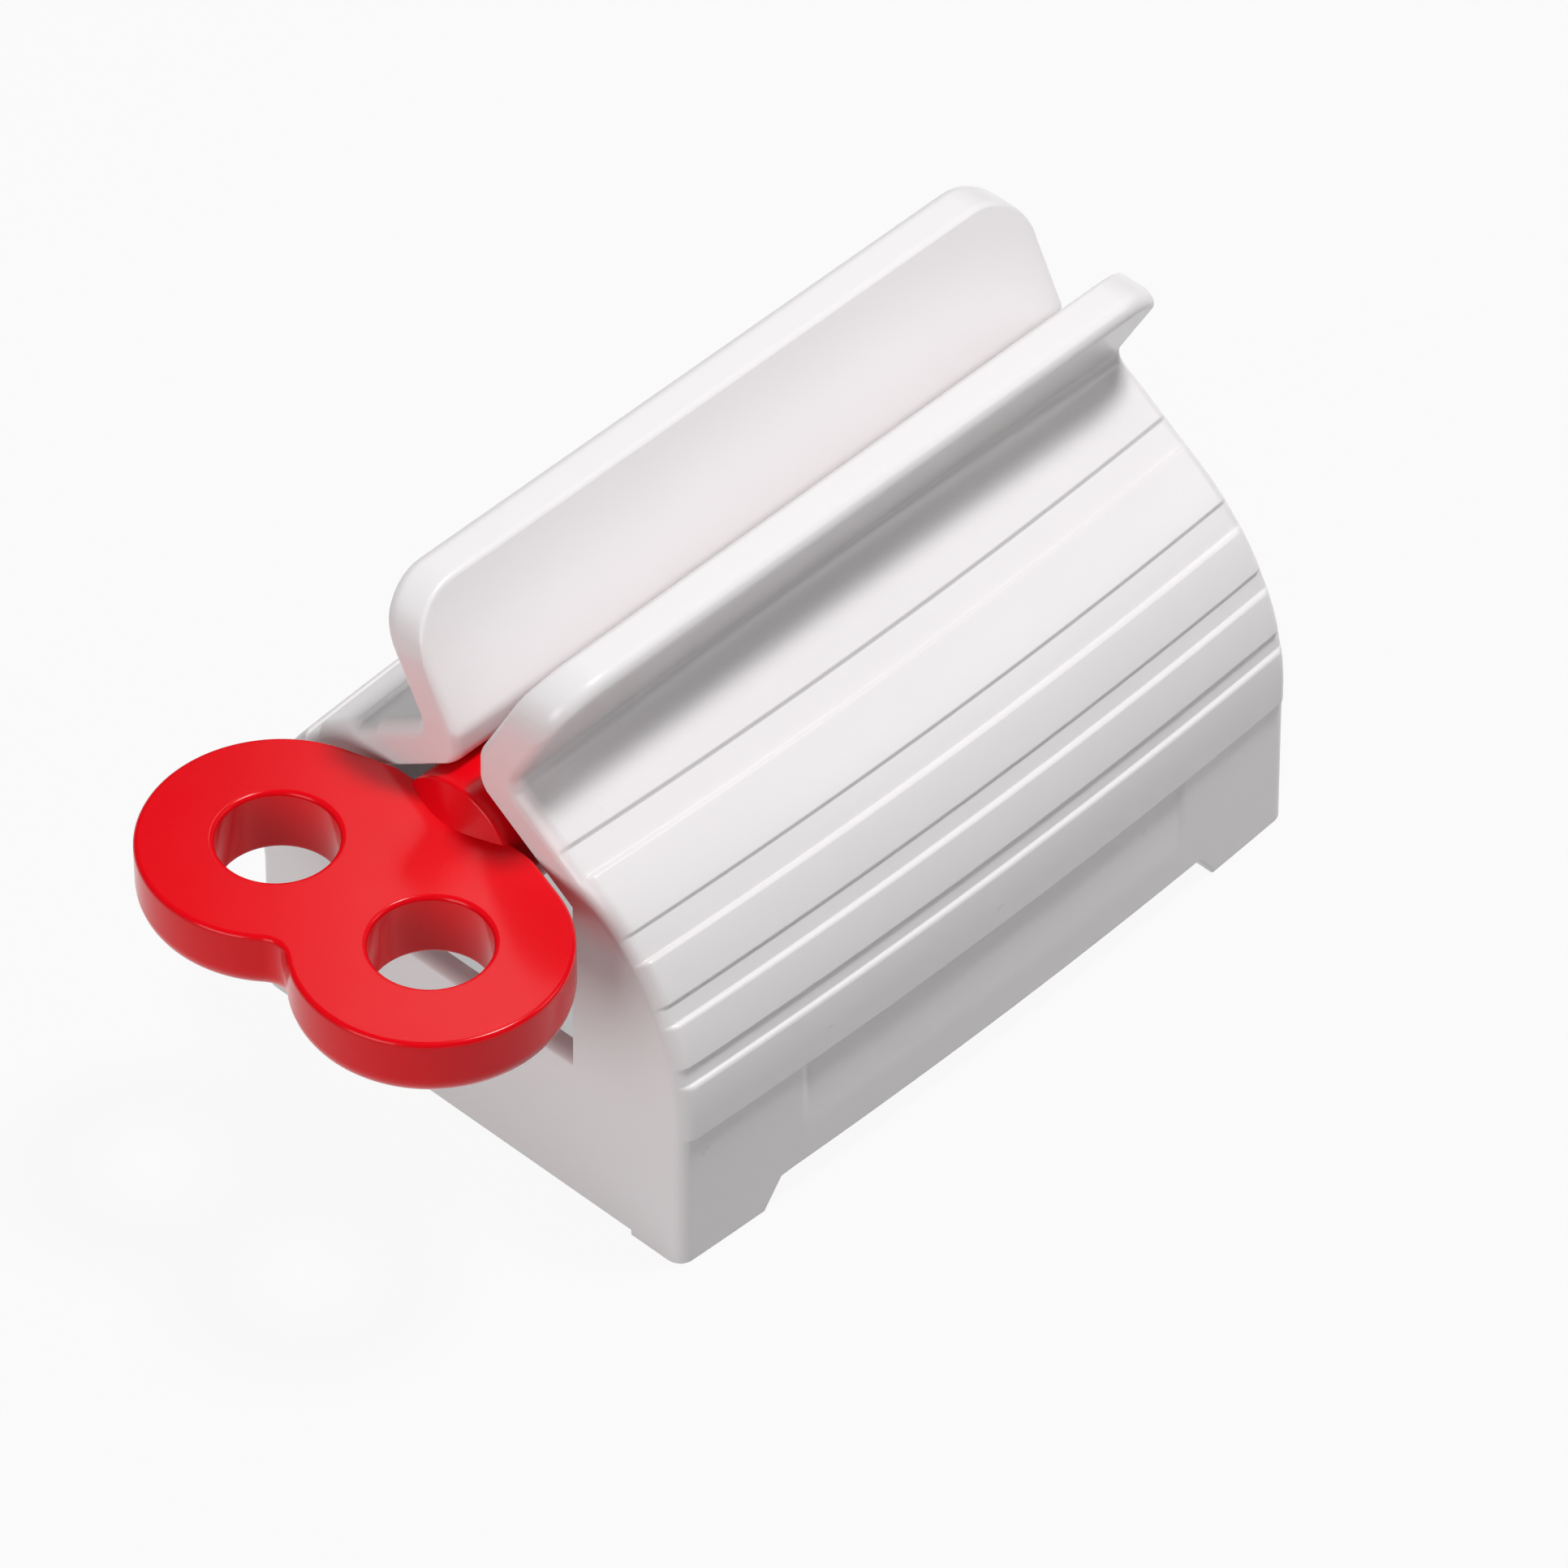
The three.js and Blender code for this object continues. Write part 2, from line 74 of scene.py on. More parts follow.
# Values that only serve the making of the meshes
OVERLAP = 1 * MM
WELD = 0.001 * MM
RIB_STEP = 0.7 * MM
SHAFT_STEP = 12 * MM
STATION_STEP = 0.01 * MM
TIGHT_SHARE = 0.9  # of an edge's rounding, the most that the rounding across its end takes
SHARP_ANGLE = math.radians(34)

# Points or steps along each stretch of a curve
POINTS = SimpleNamespace(
    slot=10, mouth=7, lip_face=16, inner_edge=8, lip_top=6, outer_edge=14, lip_back=12, lip_root=14,
    rib_edge=5, end_rim=13, rib_end=6, cove=9, panel=9, panel_side=5,
    floor=6, wall=10, haunch=15, eave=8, ceiling=12, brow=4, hollow=25, window_rim=9,
    foot_side=8, foot_top=40, foot_rim=7,
    grip_edge=9, lobe=80, waist=18, neck_end=12, flank=9, hole_rim=8, hole=72,
    shaft_edge=8, shaft=96, slot_end=13)

# Lights: name, place, width and the setting with the power; all face the lit point
LIGHTS = (
    ("Overhead light", (0.2, -0.17, 0.91), 0.16, "overhead"),
    ("Side light", (-0.89, -0.04, 0.36), 0.5, "side"),
    ("Front light", (0.24, -0.24, 0.26), 0.14, "front"),
    ("Rear light", (0.152, 0.137, 0.323), 0.12, "rear"),
)
LIT_POINT = Vector((SEAT_MIDDLE_X, 0, 0.04))

# Plastic: scale and detail of its noises, its deeper shade and the depth of its grain
FLOW, POLISH, GRAIN = (45, 3), (260, 4), (5200, 2)
SHADE_SHARE = 0.965
GRAIN_DEPTH = 0.02 * MM


def size(name, description, millimetres):
    """A length that a user may change, given in millimetres and kept in metres."""
    return FloatProperty(name=name, description=description, default=millimetres * MM,
                         unit="LENGTH", subtype="DISTANCE", precision=5)


def sizes(name, description, millimetres):
    """A row of lengths, given in millimetres and kept in metres."""
    return FloatVectorProperty(name=name, description=description, size=len(millimetres),
                               default=[length * MM for length in millimetres],
                               unit="LENGTH", precision=5)


def angle(name, description, degrees):
    return FloatProperty(name=name, description=description, default=math.radians(degrees),
                         unit="ROTATION", subtype="ANGLE")


def colour(name, description, value):
    return FloatVectorProperty(name=name, description=description, size=3, default=value,
                               subtype="COLOR", min=0, max=1)


def share(name, description, value):
    return FloatProperty(name=name, description=description, default=value, min=0, subtype="FACTOR")


def power(name, description, watts):
    return FloatProperty(name=name, description=description, default=watts, min=0)


class SeatSizes(PropertyGroup):
    half_width: size("Half width", "Middle plane to the raised wall face, at the ends", 32.3)
    wall_bow: size("Wall bow", "Swell of the long walls at mid-length", 1.4)
    end_lean: angle("End lean", "Lean of the end faces", 0.8)
    end_round: size("End rounding", "Reach of the rounding along the seat, at both ends", 1.6)
    lip_end_round: size("Lip end rounding", "Rounding of the lips' end edges", 1.3)
    window_round: size("Window rounding", "Rounding of the rims of the end windows", 0.6)
    shoulder_height: size("Shoulder height", "Where the upright wall turns into the shoulder", 21)
    shoulder_radius: size("Shoulder radius", "Radius of the shoulder", 30.5)
    roof_pitch: angle("Roof pitch", "Slope of the roof", 34)
    ribs: sizes("Ribs", "Widths of the raised ribs, from the lip down", (7.1, 7.2, 5.1, 5.1))
    grooves: sizes("Grooves", "Widths of the grooves, from the lip down", (4.1, 3.7, 2.8, 2.7))
    groove_depth: size("Groove depth", "Depth of the grooves below the ribs", 0.5)
    rib_drop: size("Rib drop", "Length over which a rib drops into the groove below it", 0.4)
    rib_climb: size("Rib climb", "Length over which a groove climbs to the rib below it", 0.3)
    rib_crest: size("Rib crest", "Rounding of the ribs' upper edges", 0.6)
    rib_brink: size("Rib brink", "Rounding of the ribs' lower edges and the grooves' corners", 0.25)
    rib_end_gap: size("Rib end gap", "Length over which the ribs run out to the end faces", 1.9)
    ribs_end_height: size("Ribs end", "Lower edge of the last rib above the floor", 18.9)
    panel_depth: size("Panel depth", "Depth of the sunk panel at its upper edge", 0.6)
    panel_runout: size("Panel runout", "How far the panel's floor comes out past the band below", 0.3)
    panel_end_inset: size("Panel inset", "Seat's end to the sunk panel's end", 17.5)
    panel_cove: size("Panel cove", "Length over which the panel's ends fade out", 1.4)
    foot_length: size("Foot length", "Length of each corner foot", 12.3)
    foot_height: size("Foot height", "Height of the gap between the feet", 3.7)
    foot_slant: size("Foot slant", "How far the feet's inner ends lean", 2.6)
    foot_round: size("Foot rounding", "Rounding of the gap's rim", 0.5)
    end_foot_depth: size("End foot depth", "Reach of the feet along the end walls", 8.0)
    end_relief: size("End relief", "Clearance under the end walls", 0.7)
    wall: size("Wall", "Raised face to the hollow", 3.6)
    end_wall: size("End wall", "Thickness of the end walls", 3.0)
    roof_thickness: size("Roof thickness", "Thickness of the roof", 5.2)
    haunch: angle("Haunch", "How far the hollow follows the shoulder", 45)
    window_half_width: size("Window half width", "Half of the end windows' width", 15.2)
    window_sill: size("Window sill", "Sill of the end windows above the floor", 19.8)
    throat_gap: size("Throat gap", "Width of the slot", 2.9)
    throat_round: size("Throat rounding", "Rounding of the slot's lower edges", 3.0)
    throat_land: size("Throat land", "Upright stretch of the slot", 2.4)
    throat_ease: size("Throat easing", "Rounding where the slot opens into the lips", 3.0)
    lip_flare: angle("Lip flare", "Lean of the lips", 28.4)
    lip_length: size("Lip length", "Inner face of a lip, from the slot to the level top", 15.6)
    lip_thickness: size("Lip thickness", "Thickness of the lips", 5.3)
    lip_inner_round: size("Lip inner edge", "Rounding of the level top's inner edge", 0.9)
    lip_outer_round: size("Lip outer edge", "Rounding of the level top's outer edge", 1.5)
    lip_root_fillet: size("Lip root fillet", "Fillet between lip and roof", 1.5)
    lip_corner_radius: size("Lip corner", "Radius of the lips' upper corners", 7.3)


class KeySizes(PropertyGroup):
    shaft_radius: size("Shaft radius", "Radius of the winding shaft", 8.1)
    shaft_tip_round: size("Shaft tip rounding", "Rounding at the shaft's free tip", 1.2)
    nose_overhang: size("Nose overhang", "Full shaft beyond the near end face", 1.1)
    nose_length: size("Nose length", "Length of the conical nose", 2.8)
    nose_radius: size("Nose radius", "Radius at the end of the nose", 2.5)
    nose_edge: size("Nose edge", "Rounding between shaft and nose", 0.5)
    tail_slot_width: size("Tail slot width", "Width of the slot in the shaft", 2.6)
    tail_slot_inset: size("Tail slot inset", "Near end face to the slot's blind end", 5.0)
    grip_thickness: size("Grip thickness", "Thickness of the two-lobed grip", 8.2)
    grip_edge: size("Grip edge", "Rounding of the grip's upper edge", 0.6)
    grip_underside: size("Grip underside", "Rounding of the grip's lower edge", 3.0)
    grip_gap: size("Grip gap", "Lobes to the near end face", 1.4)
    lobe_radius: size("Lobe radius", "Radius of the grip's lobes", 15.15)
    hole_radius: size("Hole radius", "Radius of the finger holes", 6.65)
    hole_spacing: size("Hole spacing", "Distance between the finger holes", 22.7)
    hole_rim: size("Hole rim", "Rounding of the holes' rims", 0.6)
    waist_fillet: size("Waist fillet", "Fillet between the lobes", 3.0)
    neck_half_width: size("Neck half width", "Half of the width of the neck's end", 11)
    neck_gap: size("Neck gap", "Neck to the near end face", 0.6)


class FinishSettings(PropertyGroup):
    white: colour("White", "Colour of the seat's plastic", (0.875, 0.848, 0.855))
    red: colour("Red", "Colour of the key's plastic", (0.82, 0.002, 0.008))
    white_roughness: share("White roughness", "Roughness of the seat's plastic", 0.3)
    red_roughness: share("Red roughness", "Roughness of the key's plastic", 0.18)
    white_gloss: share("White gloss", "Strength of the mirror image in the seat's plastic", 0.45)
    red_gloss: share("Red gloss", "Strength of the mirror image in the key's plastic", 0.2)
    white_unevenness: share("White unevenness", "Spread of roughness and grain of the seat's plastic", 0.1)
    red_unevenness: share("Red unevenness", "Spread of roughness and grain of the key's plastic", 0.08)


class StageSettings(PropertyGroup):
    bearing: angle("Bearing", "Turn of the view from the seat's near end towards its front", 45.85)
    elevation: angle("Elevation", "Height of the view above the floor", 43.7)
    distance: size("Distance", "Camera to the aimed point", 1250)
    focal_pixels: FloatProperty(name="Focal pixels", description="Focal length in photo pixels",
                                default=14334)
    aim: sizes("Aim", "Point in the middle plane that the view was measured from", (-10, 0, 35))
    aim_right: size("Aim right", "How far right of that point the view is centred", 7.613)
    aim_up: size("Aim up", "How far above that point the view is centred", -7.871)
    floor_half: size("Floor half width", "Half of the floor's width", 1500)
    shade_inset: size("Shade inset", "Seat's box to the shaded floor under it", 9)
    shade_rise: size("Shade rise", "Height of the shaded floor above the rest", 0.05)
    floor_grey: colour("Floor", "Colour of the floor in the light", (0.42, 0.42, 0.42))
    floor_white: share("Floor white", "Share of plain white that the floor shows", 0.93)
    shade_white: share("Shade white", "Share of plain white in the shaded floor", 0.45)
    ambient: share("Ambient", "Light from all round", 0.09)
    overhead: power("Overhead", "Power of the overhead light", 5.8)
    side: power("Side", "Power of the light beside the grip", 3.9)
    front: power("Front", "Power of the small light to the front right", 0.2)
    rear: power("Rear", "Power of the small light behind the seat", 0.1)


# Curves and grids

def unit(vectors):
    return vectors / np.linalg.norm(vectors, axis=-1, keepdims=True)


def rounded(corners, radii, steps):
    """A polyline whose inner corners are arcs tangent to both sides: the arc's middle lies on
    the corner's bisector at radius over the sine of half the corner's angle, and the arc turns
    from the foot of one side to the foot of the other."""
    corners = np.asarray(corners, float)
    radii = np.asarray(radii, float)[:, None]
    back = unit(corners[:-2] - corners[1:-1])
    ahead = unit(corners[2:] - corners[1:-1])
    half = np.arccos(np.clip((back * ahead).sum(1, keepdims=True), -1, 1)) / 2
    middle = corners[1:-1] + unit(back + ahead) * radii / np.sin(half)
    start = corners[1:-1] + back * radii / np.tan(half) - middle
    end = corners[1:-1] + ahead * radii / np.tan(half) - middle
    turn = (math.pi - 2 * half)[:, None]
    along = np.linspace(0, 1, steps + 1)[None, :, None]
    arcs = (np.sin((1 - along) * turn) * start[:, None] + np.sin(along * turn) * end[:, None])
    arcs = middle[:, None] + arcs / np.sin(turn)
    return np.vstack([corners[:1], arcs.reshape(-1, 2), corners[-1:]])


def refined(points, step):
    """A polyline with points added evenly on each side that is longer than the step."""
    sides = np.diff(points, axis=0)
    count = np.maximum(1, np.ceil(np.linalg.norm(sides, axis=1) / step)).astype(int)
    first = np.repeat(np.cumsum(count) - count, count)
    along = (np.arange(count.sum()) - first) / np.repeat(count, count)
    inner = np.repeat(points[:-1], count, axis=0) + np.repeat(sides, count, axis=0) * along[:, None]
    return np.vstack([inner, points[-1:]])


def circle_points(middle, radius, angles):
    return np.asarray(middle) + radius * np.column_stack([np.cos(angles), np.sin(angles)])


def straight(start, end, count):
    """Even points from start towards end, without the end itself."""
    along = np.arange(count)[:, None] / count
    return np.asarray(start) + (np.asarray(end) - np.asarray(start)) * along


def smooth(values):
    """Soft step: rises from 0 to 1 with level ends while the value goes from 0 to 1."""
    held = np.clip(values, 0, 1)
    return held * held * (3 - 2 * held)


def ring_body(name, rings):
    """Closed body from rings of points: neighbouring rings are joined by quads, the first and
    last ring are closed by a face each."""
    count, around = rings.shape[:2]
    ring = np.arange(count - 1)[:, None] * around
    spot = np.arange(around)[None, :]
    following = (spot + 1) % around
    quads = np.stack([ring + spot, ring + following, ring + around + following,
                      ring + around + spot], axis=-1).reshape(-1, 4)
    caps = [list(range(around))[::-1], list(range((count - 1) * around, count * around))]
    mesh = bpy.data.meshes.new(name)
    mesh.from_pydata(rings.reshape(-1, 3), [], quads.tolist() + caps)
    work = bmesh.new()
    work.from_mesh(mesh)
    bmesh.ops.remove_doubles(work, verts=work.verts, dist=WELD)
    bmesh.ops.recalc_face_normals(work, faces=work.faces)
    work.to_mesh(mesh)
    work.free()
    body = bpy.data.objects.new(name, mesh)
    bpy.context.scene.collection.objects.link(body)
    return body


def combined(body, steps):
    """The body after each step, a joining or a cutting by another body, which is used up."""
    for operation, tool in steps:
        change = body.modifiers.new(operation.title(), "BOOLEAN")
        change.operation = operation
        change.solver = "MANIFOLD"
        change.object = tool
    bpy.context.view_layer.update()
    made = body.evaluated_get(bpy.context.evaluated_depsgraph_get())
    mesh = bpy.data.meshes.new_from_object(made)
    body.modifiers.clear()
    old = body.data
    body.data = mesh
    mesh.name = body.name
    bpy.data.meshes.remove(old)
    for _, tool in steps:
        used = tool.data
        bpy.data.objects.remove(tool)
        bpy.data.meshes.remove(used)
    if not mesh.polygons:
        raise RuntimeError(f"{body.name}: nothing is left after joining and cutting")
    return body


def finished(piece, material, body, node):
    """Shading, finish and place in the frame of a piece that stands for a CAD node."""
    work = bmesh.new()
    work.from_mesh(piece.data)
    bmesh.ops.remove_doubles(work, verts=work.verts, dist=WELD)
    bmesh.ops.dissolve_degenerate(work, edges=work.edges, dist=WELD)
    work.to_mesh(piece.data)
    work.free()
    piece.data.shade_smooth()
    piece.data.set_sharp_from_angle(angle=SHARP_ANGLE)
    shading = piece.modifiers.new("Even shading", "WEIGHTED_NORMAL")
    shading.keep_sharp = True
    piece.data.materials.clear()
    piece.data.materials.append(material)
    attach(piece, body)
    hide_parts(node)
    return piece


# Seat

def seat_plan(s):
    """Places that follow from the seat's sizes: the roof is tangent to the shoulder's arc, the
    ceiling lies one roof thickness under it, and the lip's root fillet touches both the roof
    and the lip's outer face."""
    p = SimpleNamespace()
    p.half_length = (SEAT_HIGH.x - SEAT_LOW.x) / 2
    p.lean = math.tan(s.end_lean)
    p.shoulder_middle = s.half_width - s.shoulder_radius
    p.rise = math.tan(s.roof_pitch)
    p.tilt = math.pi / 2 - s.roof_pitch
    p.tangent = np.array([p.shoulder_middle + s.shoulder_radius * math.sin(s.roof_pitch),
                          s.shoulder_height + s.shoulder_radius * math.cos(s.roof_pitch)])
    p.roof_apex = p.tangent[1] + p.tangent[0] * p.rise
    p.ceiling_apex = p.roof_apex - s.roof_thickness / math.cos(s.roof_pitch)
    p.half_throat = s.throat_gap / 2
    p.ceiling_edge = p.half_throat + s.throat_round * (1 - math.sin(s.roof_pitch))
    p.throat_middle = np.array([
        p.half_throat + s.throat_round,
        ceiling_at(p, p.ceiling_edge) + s.throat_round * math.cos(s.roof_pitch)])
    p.lip_foot = np.array([p.half_throat, p.throat_middle[1] + s.throat_land])
    p.lip_along = np.array([math.sin(s.lip_flare), math.cos(s.lip_flare)])
    p.lip_out = np.array([math.cos(s.lip_flare), -math.sin(s.lip_flare)])
    p.lip_back = p.lip_foot + s.lip_thickness * p.lip_out
    roof_over = p.roof_apex - p.lip_back[0] * p.rise - p.lip_back[1]
    climb = roof_over / (p.lip_along[1] + p.lip_along[0] * p.rise)
    opening = math.pi / 2 + s.roof_pitch - s.lip_flare
    reach = s.lip_root_fillet / math.tan(opening / 2)
    p.root_reach = climb + reach
    corner = p.lip_back + climb * p.lip_along
    p.root_on_roof = corner + reach * np.array([math.cos(s.roof_pitch), -math.sin(s.roof_pitch)])
    p.root_middle = p.root_on_roof + s.lip_root_fillet * np.array(
        [math.sin(s.roof_pitch), math.cos(s.roof_pitch)])
    return p


def ceiling_at(p, across):
    return p.ceiling_apex - across * p.rise


def end_at(p, height):
    """Half of the seat's length at a height: the end faces lean in evenly."""
    return p.half_length - height * p.lean


def bow_at(s, p, along):
    """Swell of the long walls: a parabola over the length, none at the ends."""
    return s.wall_bow * (1 - (along / p.half_length) ** 2)


def rim_curve(s, gap):
    """Rounding near an end face, from 0 well inside to 1 at the face: a quarter circle over
    the gap to the face."""
    left = np.clip(1 - gap / s.end_round, 0, 1)
    return 1 - np.sqrt(1 - left ** 2)


def band_share(s, gap):
    """Share of the ribs' height that is left out near an end face: none from the ribs' end
    inwards, all of it at the face."""
    return smooth(1 - gap / s.rib_end_gap)


def panel_sink(s, p, along, height):
    """Depth of the sunk panel: its floor leans evenly from the runout past the band at the foot
    gap to the full depth under the last rib, and fades at its ends over the cove and at its
    top over one groove depth."""
    reach = p.half_length - s.panel_end_inset
    ends = smooth((reach - np.abs(along)) / s.panel_cove)
    top = smooth((s.ribs_end_height - height) / s.groove_depth - 1)
    climbed = (height - s.foot_height) / (s.ribs_end_height - s.foot_height)
    return ends * top * np.maximum(0, (s.panel_depth + s.panel_runout) * climbed - s.panel_runout)


def rib_places(s, p, distance, depth):
    """Points of the ribbed face from the distance down the face and the depth below it, with
    the face's outward direction: straight down the roof, round the shoulder's arc and
    straight down the wall."""
    roof = (p.root_on_roof[1] - p.tangent[1]) / math.sin(s.roof_pitch)
    turned = (distance - roof) / s.shoulder_radius
    facing = np.clip(p.tilt - turned, 0, p.tilt)
    normal = np.column_stack([np.cos(facing), np.sin(facing)])
    up_roof = np.array([-math.cos(s.roof_pitch), math.sin(s.roof_pitch)])
    before = np.maximum(-turned, 0)[:, None] * s.shoulder_radius
    after = np.maximum(turned - p.tilt, 0)[:, None] * s.shoulder_radius
    place = np.array([p.shoulder_middle, s.shoulder_height]) + s.shoulder_radius * normal
    place = place + before * up_roof - after * np.array([0, 1]) - depth[:, None] * normal
    return place, normal


def rib_profile(s, p):
    """Depth below the face against the distance down it: each rib drops steeply into a groove
    and each groove climbs slantwise to the next rib, with rounded edges."""
    roof = (p.root_on_roof[1] - p.tangent[1]) / math.sin(s.roof_pitch)
    corners, radii, place = [(0, 0)], [], 0
    for rib, groove in zip(s.ribs, s.grooves):
        line, ridge = place + rib, place + rib + groove
        corners += [(line, 0), (line + s.rib_drop, s.groove_depth),
                    (ridge - s.rib_climb, s.groove_depth), (ridge, 0)]
        radii += [s.rib_brink, s.rib_brink, s.rib_brink, s.rib_crest]
        place = ridge
    last = roof + p.tilt * s.shoulder_radius + s.shoulder_height - s.ribs_end_height
    floor = last + s.ribs_end_height
    corners += [(last, 0), (last + s.rib_drop, s.groove_depth), (floor, s.groove_depth),
                (floor, s.groove_depth + OVERLAP)]
    radii += [s.rib_brink, s.rib_brink, s.foot_round]
    return refined(rounded(corners, radii, POINTS.rib_edge), RIB_STEP)


def seat_outline(s, p):
    """Half of the seat's section, from the slot over the lip and down the ribs to the floor.
    Columns: place, outward direction, share of the swell, end rounding, share of the lip's
    corner drop, height above the groove floors."""
    flare, half_turn, quarter_turn = s.lip_flare, math.pi, math.pi / 2

    turn = np.linspace(1.5 * math.pi - s.roof_pitch, half_turn, POINTS.slot)
    slot = circle_points(p.throat_middle, s.throat_round, turn)
    slot_out = circle_points((0, 0), 1, turn)
    slot = np.vstack([[p.ceiling_edge, slot[0, 1] - OVERLAP], slot])
    slot_out = np.vstack([slot_out[:1], slot_out])
    slot_round = np.linspace(s.window_round, s.lip_end_round, len(slot))

    ease = s.throat_ease * math.tan(flare / 2)
    turn = np.linspace(half_turn, half_turn - flare, POINTS.mouth)
    mouth = circle_points(p.lip_foot + np.array([s.throat_ease, -ease]), s.throat_ease, turn)
    mouth_out = circle_points((0, 0), 1, turn)

    inner_end = p.lip_foot + s.lip_length * p.lip_along
    outer_end = inner_end + np.array([s.lip_thickness / math.cos(flare), 0])
    inner_cut = s.lip_inner_round / math.tan((quarter_turn + flare) / 2)
    outer_cut = s.lip_outer_round / math.tan((quarter_turn - flare) / 2)
    inner_reach = np.linspace(ease, s.lip_length - inner_cut, POINTS.lip_face)[1:-1]
    inner = p.lip_foot + inner_reach[:, None] * p.lip_along
    inner_turn = np.linspace(half_turn - flare, quarter_turn, POINTS.inner_edge)
    outer_turn = np.linspace(quarter_turn, -flare, POINTS.outer_edge)
    inner_edge = circle_points(inner_end + np.array([inner_cut, -s.lip_inner_round]),
                               s.lip_inner_round, inner_turn)
    outer_edge = circle_points(outer_end - np.array([outer_cut, s.lip_outer_round]),
                               s.lip_outer_round, outer_turn)
    top = straight(inner_edge[-1], outer_edge[0], POINTS.lip_top)[1:]
    edge = np.vstack([inner_edge, top, outer_edge])
    edge_turn = np.concatenate([inner_turn, np.full(len(top), quarter_turn), outer_turn])
    edge_out = circle_points((0, 0), 1, edge_turn)
    lip, tight = s.lip_end_round, min(s.lip_end_round, TIGHT_SHARE * s.lip_inner_round)
    inner_round = lip + (tight - lip) * inner_reach / s.lip_length
    edge_round = np.concatenate([np.full(len(inner_edge), tight),
                                 np.linspace(tight, lip, len(top) + 2)[1:-1],
                                 np.full(len(outer_edge), lip)])
    outer_top = s.lip_length + s.lip_thickness * math.tan(flare) - outer_cut
    outer_reach = np.linspace(outer_top, p.root_reach, POINTS.lip_back)[1:-1]
    outer = p.lip_back + outer_reach[:, None] * p.lip_along

    turn = np.linspace(half_turn - flare, 1.5 * math.pi - s.roof_pitch, POINTS.lip_root)
    root = circle_points(p.root_middle, s.lip_root_fillet, turn)
    root_out = -circle_points((0, 0), 1, turn)
    root_share = smooth(np.linspace(0, 1, len(turn)))

    profile = rib_profile(s, p)[1:]
    ribs, ribs_out = rib_places(s, p, profile[:, 0], profile[:, 1])

    def column(*values):
        return np.concatenate([np.broadcast_to(value, len(part)) for value, part in zip(values, parts)])

    parts = [slot, mouth, inner, edge, outer, root, ribs]
    ways = [slot_out, mouth_out, np.tile(-p.lip_out, (len(inner), 1)), edge_out,
            np.tile(p.lip_out, (len(outer), 1)), root_out, ribs_out]
    lip_span = outer_top - p.root_reach
    swell = column(0, 0, 0, 0, 0, root_share, 1)
    ending = column(slot_round, lip, inner_round, edge_round, lip,
                    lip + (s.end_round - lip) * root_share, s.end_round)
    drop = column(0, 0, np.clip((inner_reach - p.root_reach) / lip_span, 0, 1), 1,
                  (outer_reach - p.root_reach) / lip_span, 0, 0)
    raised = np.maximum(0, s.groove_depth - profile[:, 1])
    rise = column(0, 0, 0, 0, 0, s.groove_depth * root_share, raised)
    return np.column_stack([np.vstack(parts), np.vstack(ways), swell, ending, drop, rise])


def seat_stations(s, p):
    """Places of the sections along the seat: close together round the ends, the ribs' ends,
    the lips' corners and the panel's coves, and even between them."""
    quarter = np.linspace(0, math.pi / 2, POINTS.end_rim)
    gaps = np.concatenate([s.end_round * (1 - np.cos(quarter[::2])),
                           np.linspace(s.end_round, s.rib_end_gap, POINTS.rib_end),
                           s.lip_corner_radius * (1 - np.cos(quarter))])
    reach = p.half_length - s.panel_end_inset
    side = p.half_length - s.lip_corner_radius
    right = np.concatenate([p.half_length - gaps,
                            reach - s.panel_cove * np.linspace(0, 1, POINTS.cove),
                            np.linspace(0, reach - s.panel_cove, POINTS.panel),
                            np.linspace(reach, side, POINTS.panel_side)])
    right = np.unique(np.round(right / STATION_STEP)) * STATION_STEP
    return np.concatenate([-right[:0:-1], right])


def seat_block(s, p):
    """The seat before it is hollowed: the section carried along the seat, swelling with the
    bow, drawn in along its outward direction round the ends, where the ribs run out, with the
    lips' corners lowered on an arc and the lower band sunk by the panel."""
    half = seat_outline(s, p)
    along = seat_stations(s, p)[:, None]
    gap = p.half_length - np.abs(along)
    inset = half[:, 5] * rim_curve(s, gap) + half[:, 7] * band_share(s, gap)
    corner = s.lip_corner_radius
    drop = corner - np.sqrt(corner ** 2 - np.clip(corner - gap, 0, corner) ** 2)
    lowered = half[:, 6] * drop
    across = half[:, 0] + half[:, 4] * bow_at(s, p, along) - inset * half[:, 2]
    across = across - lowered * p.lip_along[0]
    height = half[:, 1] - inset * half[:, 3] - lowered * p.lip_along[1]
    across = across - panel_sink(s, p, along, height) * (half[:, 4] >= 1)
    lengthwise = SEAT_MIDDLE_X + along * end_at(p, height) / p.half_length
    front = np.stack([lengthwise, across, height], axis=-1)
    rear = np.stack([lengthwise, -across, height], axis=-1)[:, ::-1]
    return ring_body("seat_block", np.concatenate([front, rear], axis=1))


def hollow_half(s, p):
    """Half of the hollow's section, from its middle on the floor up the wall, round the
    shoulder, along the ceiling and back to the middle under the slot."""
    inner = s.half_width - s.wall
    turn = np.linspace(0, s.haunch, POINTS.haunch)
    haunch = circle_points((p.shoulder_middle, s.shoulder_height), s.shoulder_radius - s.wall, turn)
    eave = (s.window_half_width, ceiling_at(p, s.window_half_width))
    brow = (p.ceiling_edge, ceiling_at(p, p.ceiling_edge))
    return np.vstack([
        straight((0, -OVERLAP), (inner, -OVERLAP), POINTS.floor),
        straight((inner, -OVERLAP), haunch[0], POINTS.wall), haunch[:-1],
        straight(haunch[-1], eave, POINTS.eave), straight(eave, brow, POINTS.ceiling),
        straight(brow, (0, brow[1]), POINTS.brow)])


